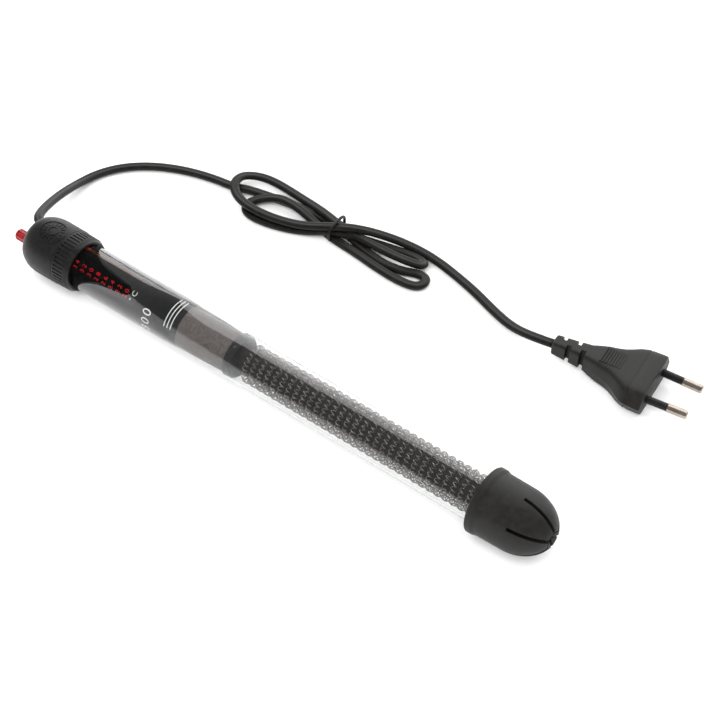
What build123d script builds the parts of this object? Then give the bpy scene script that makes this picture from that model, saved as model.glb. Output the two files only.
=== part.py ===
"""Submersible aquarium heater: glass tube, dial head, heating coil, end guard and corded plug.

The heater lies along X on its guard rim, head at -X. Z = 0 is the surface it lies on.
"""
from build123d import *
from math import cos, pi, radians, sin, tan
import os

os.makedirs("parts", exist_ok=True)

# ---- driving dimensions, mm ----
RIM_R = 14.8              # guard rim, which carries the tube clear of the surface
AXIS_Z = RIM_R            # height of the tube's axis
HALF_LENGTH = 148.0       # knob tip to guard tip is twice this
GLASS_R = 11.1
GLASS_WALL = 1.2
BORE_R = GLASS_R - GLASS_WALL

HEAD_END = -137.0
HEAD_R = 13.9
HEAD_WALL = 2.0
END_FACE_R = 8.6          # flat part of the head's end
SHOULDER = 11.0           # length over which the end rounds into the head's side
SPLIT_X = -114.5          # joint line between the head shell and the clamp ring
LIP_X = -105.0
RIB_COUNT = 44
RIB_LENGTH = 6.2
RIB_DEPTH = 0.85
RIB_GAP = 0.9
END_WALL = 3.5            # thickness of the head's end face

GLASS_START = -118.0
GLASS_DOME = 122.5        # where the closed end begins to round
GUARD_X = 115.2
GUARD_WALL = 2.4
GUARD_DOME = 131.0
SLOT_START = 133.0
SLOT_WIDTH = 1.5
DIMPLE_R = 4.6            # hollow at the tip, where the slots meet
DIMPLE_DEPTH = 1.9
DOME_APEX = 148.85        # where the dome would end without that hollow

SCALE_HOT = -103.2        # the pointer stands here at the hottest mark
SCALE_PITCH = 4.35
SCALE_STEPS = 7
POINTER_ANGLE = 74.0      # degrees round the tube, from +Y towards +Z
SLEEVE_R = 9.1
SLEEVE_WALL = 0.5
SLEEVE_START = -107.0
SLEEVE_END = -41.5

KNOB_Y, KNOB_Z = -2.1, -1.8    # dial spindle, off the tube's axis
NEUTRAL_Y, NEUTRAL_Z = -5.9, 2.9
CORE_WIRE_R = 0.85
STOPPER_START, STOPPER_END = -117.0, -108.5
SCREW_START, SCREW_END = -110.0, -65.0
WIRE_END = -43.0
KNOB_R = 2.9
KNOB_GROOVES = 10
KNOB_GROOVE_R = 0.5
SPINDLE_END = -145.0       # inside the knob's tip
SPINDLE_R = 1.5
RUNNING_GAP = 0.05

BLOCK_END = -14.5
RING_END = -10.5
CORE_R = 5.9
COIL_R = 7.6              # centre line of the wound coil
COIL_WIRE_R = 1.5         # half the small coil's outside diameter
COIL_START = -7.5
COIL_PITCH = 4.0
COIL_TURNS = 31

CORD_R = 2.0
EXIT_Y, EXIT_Z = 5.4, 3.4      # cord exit on the head's end face, from the axis
HANK_HEIGHT = 9.4
LEAD_ROUTE = [
    (-137.0, 5.4, 18.2), (-142.7, 6.1, 18.2), (-148.6, 13.4, 15.5), (-154.4, 26.7, 11.0),
    (-158.2, 39.4, 7.0), (-160.5, 51.0, 3.4), (-159.5, 62.0, 2.2), (-153.5, 73.0, 2.3),
    (-143.0, 83.0, 2.2), (-128.5, 90.5, 2.3), (-113.0, 95.0, 2.2), (-99.5, 96.4, 2.3),
]
TAIL_ROUTE = [
    (12.0, 115.0, 2.4), (24.5, 112.4, 2.2), (38.0, 108.6, 2.3), (51.5, 103.6, 2.3),
    (64.0, 99.4, 3.0), (76.0, 97.5, 5.6), (87.30, 98.62, 6.9),
]

PLUG_NOSE = (135.57, 104.26, 6.9)     # middle of the face that the pins stand out of
PLUG_YAW = 6.66
PLUG_LENGTH = 48.6
PLUG_WIDTH = 35.3
PLUG_HEIGHT = 13.7
PIN_R = 2.0
PIN_LENGTH = 19.0
PIN_SPACING = 18.6
PIN_TOE_IN = 1.6
SLEEVED_LENGTH = 10.0
PIN_CORE_R = 1.5           # the pin inside its sleeve
PIN_SLEEVE_R = 1.8
PIN_ROOT = 7.9             # how deep each pin stands in the plug


def across(x):
    """Plane across the tube at x, with local axes along world Y and Z."""
    return Plane((x, 0, AXIS_Z), x_dir=(0, 1, 0), z_dir=(1, 0, 0))


PROFILE = Plane((0, 0, AXIS_Z), x_dir=(1, 0, 0), z_dir=(0, -1, 0))
TUBE_AXIS = Axis((0, 0, AXIS_Z), (1, 0, 0))


def save(builder, name):
    """Label a finished sub-part and write its STEP file."""
    builder.part.label = name
    export_step(builder.part, f"parts/{name}.step")


def disc(x0, x1, radius, spots=((0, 0),), mode=Mode.ADD):
    """Round bars from x0 to x1 at the given places across the tube."""
    with BuildSketch(across(x0)) as ends:
        with Locations(*spots):
            Circle(radius)
    extrude(ends.sketch, amount=x1 - x0, mode=mode)


def bar(x0, x1, y, z, width, height, mode=Mode.ADD):
    """Rectangular bar from x0 to x1, centred at y and z across the tube."""
    with BuildSketch(across(x0)) as end:
        with Locations((y, z)):
            Rectangle(width, height)
    extrude(end.sketch, amount=x1 - x0, mode=mode)


def round_tube(x0, x1, outer, inner, name):
    """Plain tube round the main axis."""
    with BuildPart() as tube:
        disc(x0, x1, outer)
        disc(x0, x1, inner, mode=Mode.SUBTRACT)
    save(tube, name)


def corner_radii(points):
    """Largest bend radius at each corner of a route: 0.45 of its shorter run."""
    places = [Vector(*p) for p in points]
    radii = []
    for before, here, after in zip(places, places[1:], places[2:]):
        turn = (here - before).get_angle(after - here)
        shorter = min((here - before).length, (after - here).length)
        radii.append(0.45 * shorter / tan(radians(turn / 2)))
    return radii


def cord(points, radius, name):
    """Round tube along straight runs and tangent arcs."""
    radii = corner_radii(points)
    with BuildPart() as tube:
        with BuildLine() as route:
            FilletPolyline(*points, radius=radii)
        start = Plane(route.wire() @ 0, z_dir=route.wire() % 0)
        with BuildSketch(start) as section:
            Circle(radius)
        sweep(section.sketch, path=route.wire())
    expected = pi * radius ** 2 * route.wire().length
    print(name, "length", round(route.wire().length, 1), "volume/expected",
          round(tube.part.volume / expected, 4), "radii", [round(r, 1) for r in radii])
    save(tube, name)


# ---- head ----
with BuildPart() as head_shell:
    with BuildSketch(PROFILE):
        with BuildLine():
            Line((HEAD_END, 0), (HEAD_END, END_FACE_R))
            ThreePointArc((HEAD_END, END_FACE_R), (HEAD_END + 3.4, 12.2), (HEAD_END + SHOULDER, HEAD_R))
            Polyline((HEAD_END + SHOULDER, HEAD_R), (SPLIT_X, HEAD_R - 0.1), (SPLIT_X, HEAD_R - HEAD_WALL),
                     (HEAD_END + SHOULDER, HEAD_R - HEAD_WALL), (HEAD_END + END_WALL, 9.6),
                     (HEAD_END + END_WALL, 0), (HEAD_END, 0))
        make_face()
    revolve(axis=TUBE_AXIS)
    disc(HEAD_END - 1, HEAD_END + 4, SPINDLE_R + RUNNING_GAP, [(KNOB_Y, KNOB_Z)], Mode.SUBTRACT)
    disc(HEAD_END - 1, HEAD_END + 4, 2.9, [(EXIT_Y, EXIT_Z)], Mode.SUBTRACT)
save(head_shell, "head_shell")

with BuildPart() as clamp_ring:
    with BuildSketch(PROFILE):
        with BuildLine():
            Polyline((SPLIT_X, GLASS_R + 0.1), (SPLIT_X, HEAD_R - 0.3), (LIP_X - 2.2, 13.4),
                     (LIP_X - 1.4, 12.9),
                     (LIP_X, 12.3), (LIP_X, GLASS_R + 0.1), (-109.0, GLASS_R + 0.1), (-109.0, 12.4),
                     (-110.6, 12.4), (-110.6, GLASS_R + 0.1), close=True)
        make_face()
    revolve(axis=TUBE_AXIS)
    with BuildSketch(across(SPLIT_X + 0.8)):
        with PolarLocations(HEAD_R, RIB_COUNT):
            Rectangle(2 * RIB_DEPTH, RIB_GAP)
    extrude(amount=RIB_LENGTH, mode=Mode.SUBTRACT)
save(clamp_ring, "clamp_ring")

round_tube(-110.5, -109.1, 12.3, GLASS_R + 0.02, "collar_gasket")

with BuildPart() as cord_grommet:
    disc(HEAD_END, HEAD_END + END_WALL, 2.85, [(EXIT_Y, EXIT_Z)])
    disc(HEAD_END + END_WALL, HEAD_END + 4.7, 3.1, [(EXIT_Y, EXIT_Z)])
    disc(HEAD_END, HEAD_END + 4.7, 0.95, [(EXIT_Y, EXIT_Z)], Mode.SUBTRACT)
save(cord_grommet, "cord_grommet")

WIRE_HOLES = [(EXIT_Y, EXIT_Z), (NEUTRAL_Y, NEUTRAL_Z)]
with BuildPart() as tube_stopper:
    disc(STOPPER_START, STOPPER_END, BORE_R - RUNNING_GAP)
    disc(STOPPER_START, STOPPER_END, SPINDLE_R + RUNNING_GAP, [(KNOB_Y, KNOB_Z)], Mode.SUBTRACT)
    disc(STOPPER_START, STOPPER_END, 0.9, WIRE_HOLES, Mode.SUBTRACT)
save(tube_stopper, "tube_stopper")

# ---- dial, spindle and lead screw, which turn together ----
with BuildPart() as temperature_knob:
    disc(-HALF_LENGTH, HEAD_END - 0.4, KNOB_R, [(KNOB_Y, KNOB_Z)])
    fillet(temperature_knob.edges().group_by(Axis.X)[0], 1.6)
    with BuildSketch(across(-HALF_LENGTH + 1.5)):
        with Locations((KNOB_Y, KNOB_Z)):
            with PolarLocations(KNOB_R, KNOB_GROOVES):
                Circle(KNOB_GROOVE_R)
    extrude(amount=HALF_LENGTH + HEAD_END - 1.5 - 0.4, mode=Mode.SUBTRACT)
    disc(SPINDLE_END, HEAD_END, SPINDLE_R, [(KNOB_Y, KNOB_Z)], Mode.SUBTRACT)
save(temperature_knob, "temperature_knob")

with BuildPart() as knob_spindle:
    disc(SPINDLE_END, SCREW_START, SPINDLE_R, [(KNOB_Y, KNOB_Z)])
save(knob_spindle, "knob_spindle")

with BuildPart() as lead_screw:
    disc(SCREW_START, SCREW_END, SPINDLE_R - 0.1, [(KNOB_Y, KNOB_Z)])
save(lead_screw, "lead_screw")

with BuildPart() as knob_seal:
    disc(HEAD_END + 3.6, HEAD_END + 5.1, 2.6, [(KNOB_Y, KNOB_Z)])
    disc(HEAD_END + 3.6, HEAD_END + 5.1, SPINDLE_R + RUNNING_GAP, [(KNOB_Y, KNOB_Z)], Mode.SUBTRACT)
save(knob_seal, "knob_seal")

# ---- glass tube ----
with BuildPart() as glass_tube:
    with BuildSketch(PROFILE):
        with BuildLine():
            Polyline((GLASS_DOME, BORE_R), (GLASS_START, BORE_R), (GLASS_START, GLASS_R),
                     (GLASS_DOME, GLASS_R))
            EllipticalCenterArc((GLASS_DOME, 0), GLASS_R - 1.5, GLASS_R, 0, arc_size=90)
            Line((GLASS_DOME + GLASS_R - 1.5, 0), (GLASS_DOME + BORE_R - 1.5, 0))
            EllipticalCenterArc((GLASS_DOME, 0), BORE_R - 1.5, BORE_R, 0, arc_size=90)
        make_face()
    revolve(axis=TUBE_AXIS)
save(glass_tube, "glass_tube")

# ---- thermostat inside its printed sleeve ----
with BuildPart() as scale_sleeve:
    disc(SLEEVE_START, SLEEVE_END, SLEEVE_R)
    disc(SLEEVE_START, SLEEVE_END, SLEEVE_R - SLEEVE_WALL, mode=Mode.SUBTRACT)
    with BuildSketch(across(SCALE_HOT - 2.0)):
        with PolarLocations(SLEEVE_R, 1, start_angle=POINTER_ANGLE):
            Rectangle(3.0, 3.0)
    extrude(amount=SCALE_PITCH * SCALE_STEPS + 4.0, mode=Mode.SUBTRACT)
save(scale_sleeve, "scale_sleeve")

with BuildPart() as thermostat_frame:
    bar(-106.5, -42.0, 0, -4.9, 12.0, 1.0)
    bar(-66.5, -65.5, KNOB_Y, -2.2, 5.6, 5.0)
    disc(-67.0, -65.0, SPINDLE_R - 0.1 + RUNNING_GAP, [(KNOB_Y, KNOB_Z)], Mode.SUBTRACT)
save(thermostat_frame, "thermostat_frame")

with BuildPart() as pointer:
    bar(SCALE_HOT - 1.6, SCALE_HOT + 1.6, KNOB_Y, KNOB_Z, 4.6, 4.4)
    disc(SCALE_HOT - 1.6, SCALE_HOT + 1.6, SPINDLE_R - 0.1 + RUNNING_GAP, [(KNOB_Y, KNOB_Z)], Mode.SUBTRACT)
    with BuildSketch(across(SCALE_HOT - 0.8)):
        with BuildLine():
            Polyline((-3.2, 0.3), (-1.4, 0.3), (2.9, 8.5), (1.9, 8.8), close=True)
        make_face()
    extrude(amount=1.6)
save(pointer, "pointer")

BIMETAL_Y = 4.6
with BuildPart() as bimetal_strip:
    bar(-100.0, -62.0, BIMETAL_Y, -1.0, 3.6, 0.6)
save(bimetal_strip, "bimetal_strip")

with BuildPart() as moving_contact:
    bar(-65.0, -63.0, BIMETAL_Y, -1.65, 2.0, 0.7)
save(moving_contact, "moving_contact")

with BuildPart() as strip_post:
    bar(-103.5, -100.3, BIMETAL_Y - 0.6, -2.5, 2.0, 3.8)
save(strip_post, "strip_post")

with BuildPart() as fixed_contact:
    bar(-65.5, -62.5, BIMETAL_Y, -3.2, 2.2, 2.3)
save(fixed_contact, "fixed_contact")

with BuildPart() as contact_magnet:
    bar(-60.8, -57.8, BIMETAL_Y, -3.0, 3.0, 2.7)
save(contact_magnet, "contact_magnet")

with BuildPart() as calibration_screw:
    with BuildSketch(Plane((-94.0, BIMETAL_Y, AXIS_Z - 4.4))):
        Circle(0.9)
    extrude(amount=2.4)
save(calibration_screw, "calibration_screw")

with BuildPart() as capacitor:
    disc(-60.0, -48.0, 2.4, [(-3.6, -1.6)])
save(capacitor, "capacitor")

with BuildPart() as indicator_lamp:
    disc(-63.0, -54.0, 1.9, [(1.0, 5.0)])
    fillet(indicator_lamp.edges().group_by(Axis.X)[0], 1.0)
save(indicator_lamp, "indicator_lamp")

with BuildPart() as lamp_resistor:
    disc(-52.5, -46.0, 0.9, [(1.0, 5.0)])
save(lamp_resistor, "lamp_resistor")

with BuildPart() as thermal_fuse:
    disc(-56.0, -46.0, 1.3, [(3.2, 0.8)])
save(thermal_fuse, "thermal_fuse")

with BuildPart() as live_wire:
    disc(HEAD_END, WIRE_END, CORE_WIRE_R, [(EXIT_Y, EXIT_Z)])
save(live_wire, "live_wire")

with BuildPart() as neutral_wire:
    disc(HEAD_END + 5.2, WIRE_END, CORE_WIRE_R, [(NEUTRAL_Y, NEUTRAL_Z)])
save(neutral_wire, "neutral_wire")

# ---- heating section ----
LEAD_HOLES = [(2.6, 0), (-2.6, 0)]
with BuildPart() as insulator_block:
    disc(SLEEVE_END, BLOCK_END, 8.9)
    disc(SLEEVE_END, BLOCK_END, 0.9, LEAD_HOLES, Mode.SUBTRACT)
save(insulator_block, "insulator_block")

RIVET_ANGLE = 109.7
with BuildPart() as centring_ring:
    disc(BLOCK_END, RING_END, 9.6)
    disc(BLOCK_END, RING_END, CORE_R + 0.05, mode=Mode.SUBTRACT)
    for angle in (RIVET_ANGLE, RIVET_ANGLE + 180):
        with BuildSketch(Plane(((BLOCK_END + RING_END) / 2, 0, AXIS_Z),
                               z_dir=(0, cos(radians(angle)), sin(radians(angle))))):
            Circle(0.9)
        extrude(amount=12, mode=Mode.SUBTRACT)
save(centring_ring, "centring_ring")

with BuildPart() as terminal_rivets:
    for angle in (RIVET_ANGLE, RIVET_ANGLE + 180):
        out = Vector(0, cos(radians(angle)), sin(radians(angle)))
        middle = Vector((BLOCK_END + RING_END) / 2, 0, AXIS_Z)
        with BuildSketch(Plane(middle + out * 6.1, z_dir=out)):
            Circle(0.85)
        extrude(amount=3.0)
save(terminal_rivets, "terminal_rivets")

CORE_END = COIL_START + COIL_PITCH * COIL_TURNS + 2.0
with BuildPart() as ceramic_core:
    disc(BLOCK_END, CORE_END, CORE_R)
    disc(BLOCK_END, CORE_END, 1.6, mode=Mode.SUBTRACT)
save(ceramic_core, "ceramic_core")

with BuildPart() as heating_coil:
    coil_end = COIL_START + COIL_PITCH * COIL_TURNS
    disc(COIL_START, coil_end, COIL_R)
    with BuildSketch(PROFILE):
        for turn in range(COIL_TURNS):
            with Locations((COIL_START + COIL_PITCH * (turn + 0.5), COIL_R)):
                Circle(COIL_WIRE_R)
    revolve(axis=TUBE_AXIS)
    disc(COIL_START, coil_end, CORE_R + 0.1, mode=Mode.SUBTRACT)
save(heating_coil, "heating_coil")

with BuildPart() as return_wire:
    disc(BLOCK_END + 0.2, CORE_END - 0.5, 0.8)
save(return_wire, "return_wire")

round_tube(CORE_END + 0.1, CORE_END + 4.0, 9.6, 2.0, "end_spacer")

# ---- slotted end guard, which pulls off the tube ----
with BuildPart() as end_guard:
    reach = DOME_APEX - GUARD_DOME
    with BuildSketch(PROFILE):
        with BuildLine():
            Polyline((GUARD_DOME, 0), (GUARD_X, 0), (GUARD_X, RIM_R - 0.4), (GUARD_X + 0.5, RIM_R),
                     (GUARD_X + 2.9, RIM_R), (GUARD_X + 4.4, 14.2), (GUARD_DOME, 14.0))
            EllipticalCenterArc((GUARD_DOME, 0), reach, 14.0, 0, arc_size=90)
            Line((DOME_APEX, 0), (GUARD_DOME, 0))
        make_face()
    revolve(axis=TUBE_AXIS)
    with BuildSketch(PROFILE):
        with BuildLine():
            Polyline((GUARD_DOME, 0), (GUARD_X - 1, 0), (GUARD_X - 1, GLASS_R + RUNNING_GAP),
                     (GUARD_DOME, GLASS_R + RUNNING_GAP))
            EllipticalCenterArc((GUARD_DOME, 0), reach - GUARD_WALL, GLASS_R + RUNNING_GAP, 0, arc_size=90)
            Line((DOME_APEX - GUARD_WALL, 0), (GUARD_DOME, 0))
        make_face()
    revolve(axis=TUBE_AXIS, mode=Mode.SUBTRACT)
    with BuildSketch(PROFILE):
        with BuildLine():
            Polyline((HALF_LENGTH - DIMPLE_DEPTH, 0), (HALF_LENGTH, DIMPLE_R), (DOME_APEX + 1, DIMPLE_R),
                     (DOME_APEX + 1, 0), close=True)
        make_face()
    revolve(axis=TUBE_AXIS, mode=Mode.SUBTRACT)
    with BuildSketch(across(SLOT_START)):
        for angle in (30, 90, 150):
            Rectangle(4 * RIM_R, SLOT_WIDTH, rotation=angle)
    extrude(amount=30, mode=Mode.SUBTRACT)
save(end_guard, "end_guard")

# ---- cord: uncoiled lead and tail, and the tied hank between them ----
cord(LEAD_ROUTE, CORD_R, "cord_lead")
cord(TAIL_ROUTE, CORD_R, "cord_tail")

with BuildPart() as cord_hank:
    with BuildSketch(Plane.XY.offset(0.1)):
        with BuildLine():
            Spline((-101.5, 97.0), (-97.0, 108.5), (-82.0, 113.5), (-60.0, 110.8), (-38.0, 108.0),
                   (-14.0, 115.0), (8.0, 118.0), (17.0, 109.0), (16.5, 95.0), (3.0, 91.5),
                   (-16.0, 92.5), (-38.0, 94.0), (-60.0, 85.0), (-84.0, 82.0), (-97.0, 88.0), periodic=True)
        make_face()
    extrude(amount=HANK_HEIGHT)
save(cord_hank, "cord_hank")

with BuildPart() as twist_tie:
    with BuildSketch(Plane.YZ.offset(-38.6)):
        with Locations((101.0, HANK_HEIGHT / 2 + 0.4)):
            RectangleRounded(19.5, HANK_HEIGHT + 0.8, 2.0)
    extrude(amount=1.6)
save(twist_tie, "twist_tie")

# ---- plug ----
PLUG_FRAME = Plane(PLUG_NOSE, x_dir=(cos(radians(PLUG_YAW)), sin(radians(PLUG_YAW)), 0), z_dir=(0, 0, 1))
PIN_SIDES = (1, -1)


def pin_plane(side, along):
    """Plane across one pin, whose axis leans in towards the other."""
    lean = radians(PLUG_YAW - side * PIN_TOE_IN)
    foot = PLUG_FRAME.from_local_coords(Vector(0, side * PIN_SPACING / 2, 0))
    way = Vector(cos(lean), sin(lean), 0)
    return Plane(foot + way * along, z_dir=way)


with BuildPart() as plug_body:
    half = PLUG_WIDTH / 2
    with BuildSketch(PLUG_FRAME.offset(-PLUG_HEIGHT / 2)):
        with BuildLine():
            Polyline((-30.0, -6.0), (0, -half + 1.6), (0, half - 1.6), (-30.0, 6.0), close=True)
        make_face()
        with BuildLine():
            Polyline((-10.0, -half), (-0.01, -half + 0.6), (-0.01, half - 0.6), (-10.0, half),
                     (-18.0, 11.5), (-24.0, 7.6), (-30.0, 6.4), (-30.0, -6.4), (-24.0, -7.6),
                     (-18.0, -11.5), close=True)
        make_face()
    extrude(amount=PLUG_HEIGHT)
    with BuildSketch(PLUG_FRAME.offset(-4.6)):
        with Locations((-PLUG_LENGTH / 2 - 14.0, 0)):
            Rectangle(PLUG_LENGTH - 28.0, 8.6)
    extrude(amount=9.2)
    for side in PIN_SIDES:
        with BuildSketch(pin_plane(side, -8.0)):
            Circle(PIN_CORE_R)
        extrude(amount=12, mode=Mode.SUBTRACT)
save(plug_body, "plug_body")

with BuildPart() as plug_pins:
    for side in PIN_SIDES:
        with BuildSketch(pin_plane(side, -PIN_ROOT)):
            Circle(PIN_CORE_R)
        extrude(amount=PIN_ROOT + SLEEVED_LENGTH)
        with BuildSketch(pin_plane(side, SLEEVED_LENGTH)):
            Circle(PIN_R)
        extrude(amount=PIN_LENGTH - SLEEVED_LENGTH)
    tips = [pin_plane(side, PIN_LENGTH).origin for side in PIN_SIDES]
    fillet([plug_pins.edges().filter_by(GeomType.CIRCLE).sort_by_distance(tip)[0] for tip in tips], 0.8)
save(plug_pins, "plug_pins")

with BuildPart() as pin_sleeves:
    for side in PIN_SIDES:
        with BuildSketch(pin_plane(side, 0.02)):
            Circle(PIN_SLEEVE_R)
            Circle(PIN_CORE_R, mode=Mode.SUBTRACT)
        extrude(amount=SLEEVED_LENGTH - 0.04)
save(pin_sleeves, "pin_sleeves")
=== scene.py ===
from math import atan2, cos, pi, radians, sin, sqrt

import bmesh
import bpy
from bpy.props import FloatProperty, FloatVectorProperty, IntProperty, PointerProperty, StringProperty
from mathutils import Matrix, Vector


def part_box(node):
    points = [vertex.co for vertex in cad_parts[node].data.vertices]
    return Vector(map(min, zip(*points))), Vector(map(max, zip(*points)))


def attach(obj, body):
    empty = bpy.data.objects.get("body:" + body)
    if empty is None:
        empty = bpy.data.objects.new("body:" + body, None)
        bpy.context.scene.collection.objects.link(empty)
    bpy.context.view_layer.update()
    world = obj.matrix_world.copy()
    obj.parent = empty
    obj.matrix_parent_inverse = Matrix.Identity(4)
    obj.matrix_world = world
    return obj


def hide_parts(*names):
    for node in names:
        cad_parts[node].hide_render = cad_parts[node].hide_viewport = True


bl_info = {
    "name": "Submersible Aquarium Heater",
    "version": (1, 0, 0),
    "blender": (4, 5, 0),
    "location": "View3D > Sidebar > Heater",
    "description": "Builds the looks of a glass aquarium heater round its packed frame",
    "category": "Object",
}

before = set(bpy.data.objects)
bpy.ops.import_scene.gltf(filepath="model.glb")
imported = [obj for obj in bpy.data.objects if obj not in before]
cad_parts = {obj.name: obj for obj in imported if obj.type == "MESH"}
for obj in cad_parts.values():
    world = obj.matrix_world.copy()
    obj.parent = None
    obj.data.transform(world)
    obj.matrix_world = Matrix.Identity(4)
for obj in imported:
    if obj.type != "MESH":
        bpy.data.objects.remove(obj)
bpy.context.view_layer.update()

MM = 0.001
GLASS_LOW, GLASS_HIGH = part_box("glass_tube")
HEAD_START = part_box("head_shell")[0][0]
SLEEVE_LOW, SLEEVE_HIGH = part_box("scale_sleeve")
COIL_LOW, COIL_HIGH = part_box("heating_coil")
POINTER_LOW, POINTER_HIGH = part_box("pointer")
AXIS_Z = (GLASS_LOW[2] + GLASS_HIGH[2]) / 2
GLASS_R = (GLASS_HIGH[2] - GLASS_LOW[2]) / 2
SLEEVE_R = (SLEEVE_HIGH[1] - SLEEVE_LOW[1]) / 2
SCALE_HOT = (POINTER_LOW[0] + POINTER_HIGH[0]) / 2

LEAD_ROUTE = [
    (-137.0, 5.4, 18.2), (-142.7, 6.1, 18.2), (-148.6, 13.4, 15.5), (-154.4, 26.7, 11.0),
    (-158.2, 39.4, 7.0), (-160.5, 51.0, 3.4), (-159.5, 62.0, 2.2), (-153.5, 73.0, 2.3),
    (-143.0, 83.0, 2.2), (-128.5, 90.5, 2.3), (-113.0, 95.0, 2.2), (-99.5, 96.4, 2.3),
]
TAIL_ROUTE = [
    (12.0, 115.0, 2.4), (24.5, 112.4, 2.2), (38.0, 108.6, 2.3), (51.5, 103.6, 2.3),
    (64.0, 99.4, 3.0), (76.0, 97.5, 5.6), (87.30, 98.62, 6.9),
]
# Each fold of the hank, from one pass through the tie to the next.
BIG_RIGHT_FOLD = [
    (-93.0, 99.6, 2.0), (-81.0, 102.2, 2.0), (-64.5, 105.0, 2.0), (-50.0, 105.6, 2.0), (-38.0, 105.0, 2.0),
    (-24.0, 101.0, 2.0), (-11.0, 97.8, 2.0), (1.0, 98.6, 2.0), (9.0, 102.2, 2.0), (14.4, 102.2, 2.2),
    (16.2, 98.0, 2.3), (13.5, 94.0, 2.0), (4.0, 92.8, 2.0), (-9.0, 93.8, 2.0), (-22.0, 95.8, 2.0),
    (-38.0, 97.0, 2.0),
]
INNER_LEFT_FOLD = [
    (-52.0, 100.6, 2.6), (-63.0, 102.4, 4.2), (-74.0, 102.4, 4.6), (-82.5, 98.0, 3.0), (-86.4, 92.0, 2.0),
    (-83.8, 86.4, 2.0), (-76.0, 84.8, 2.0), (-63.0, 87.4, 2.0), (-51.0, 92.6, 2.0), (-38.0, 99.4, 5.0),
]
SMALL_RIGHT_FOLD = [
    (-25.0, 104.0, 3.6), (-11.0, 108.6, 2.2), (0.0, 111.0, 2.0), (6.4, 110.6, 2.2), (9.4, 107.4, 3.4),
    (5.0, 104.0, 5.0), (-8.0, 103.2, 4.4), (-22.0, 103.0, 4.8), (-38.0, 103.6, 5.2),
]
OUTER_LEFT_FOLD = [
    (-52.0, 107.8, 4.0), (-68.0, 110.6, 2.4), (-82.0, 112.0, 2.4), (-91.0, 111.0, 3.0), (-97.0, 106.6, 4.6),
    (-99.6, 101.4, 5.6), (-98.6, 95.8, 5.6), (-94.0, 91.2, 5.0), (-86.0, 87.6, 5.2), (-75.0, 86.8, 5.2),
    (-62.0, 89.0, 5.0), (-50.0, 93.0, 5.6), (-38.0, 99.6, 7.6),
]
TOP_STRAND = [(-27.0, 106.6, 7.0), (-13.0, 112.4, 5.0), (0.0, 115.2, 3.2)]
CORD_ROUTE = (LEAD_ROUTE + BIG_RIGHT_FOLD + INNER_LEFT_FOLD + SMALL_RIGHT_FOLD + OUTER_LEFT_FOLD
              + TOP_STRAND + TAIL_ROUTE)
TIE_PLACE = (-38.0, 101.0, 5.3)

PLUG_NOSE = (135.57, 104.26, 6.9)
PLUG_YAW = 6.66


class CordSizes(bpy.types.PropertyGroup):
    width: FloatProperty(name="Width", description="Width of the flat cord", default=4.8 * MM, unit="LENGTH")
    thickness: FloatProperty(name="Thickness", description="Thickness of the flat cord", default=3.0 * MM,
                             unit="LENGTH")
    length: FloatProperty(name="Length", description="Real length of the cord", default=0.79, unit="LENGTH")


class CoilSizes(bpy.types.PropertyGroup):
    turns: IntProperty(name="Turns", description="Turns round the core", default=31)
    loops: FloatProperty(name="Loops per turn", description="Small loops in each turn", default=23.62)
    centre_radius: FloatProperty(name="Centre radius", description="Radius of the wound coil's centre line",
                                 default=7.6 * MM, unit="LENGTH")
    loop_radius: FloatProperty(name="Loop radius", description="Radius of a small loop's centre line",
                               default=1.16 * MM, unit="LENGTH")
    wire_radius: FloatProperty(name="Wire radius", description="Radius of the resistance wire",
                               default=0.26 * MM, unit="LENGTH")


class PrintSizes(bpy.types.PropertyGroup):
    hottest: IntProperty(name="Hottest mark", description="First number on the scale", default=34)
    coldest: IntProperty(name="Coldest mark", description="Last number on the scale", default=20)
    rating: StringProperty(name="Rating", description="Power printed on the sleeve", default="300")
    digit_height: FloatProperty(name="Digit height", description="Height of a scale number",
                                default=2.3 * MM, unit="LENGTH")


class StageSizes(bpy.types.PropertyGroup):
    camera_place: FloatVectorProperty(name="Camera", description="Where the camera stands", size=3,
                                      subtype="TRANSLATION", default=(0.3019, -0.3431, 0.4983))
    camera_turn: FloatVectorProperty(name="Turn", description="Heading, downward tilt and roll", size=3,
                                     default=(-36.10, 46.27, 1.59))
    lens: FloatProperty(name="Lens", description="Focal length in millimetres", default=76.86)


class HeaterSettings(bpy.types.PropertyGroup):
    cord: PointerProperty(type=CordSizes)
    coil: PointerProperty(type=CoilSizes)
    prints: PointerProperty(type=PrintSizes)
    stage: PointerProperty(type=StageSizes)


# ---- materials ----
GRAIN_DETAIL = 4.0
GRAIN_STRENGTH = 0.5
NOISE_RANGE = (0.3, 0.7)
TINT_RANGE = (0.35, 0.65)
ROUGHNESS_SPREAD = 0.07


def new_material(name):
    """An empty Principled material, its tree and its shader."""
    material = bpy.data.materials.new(name)
    material.use_nodes = True
    tree = material.node_tree
    return material, tree, tree.nodes["Principled BSDF"]


def add_grain(tree, shader, scale, depth):
    """Fine surface bump on object coordinates."""
    place = tree.nodes.new("ShaderNodeTexCoord")
    noise = tree.nodes.new("ShaderNodeTexNoise")
    bump = tree.nodes.new("ShaderNodeBump")
    noise.inputs["Scale"].default_value = scale
    noise.inputs["Detail"].default_value = GRAIN_DETAIL
    bump.inputs["Strength"].default_value = GRAIN_STRENGTH
    bump.inputs["Distance"].default_value = depth
    tree.links.new(place.outputs["Object"], noise.inputs["Vector"])
    tree.links.new(noise.outputs["Fac"], bump.inputs["Height"])
    tree.links.new(bump.outputs["Normal"], shader.inputs["Normal"])
    return noise


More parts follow.
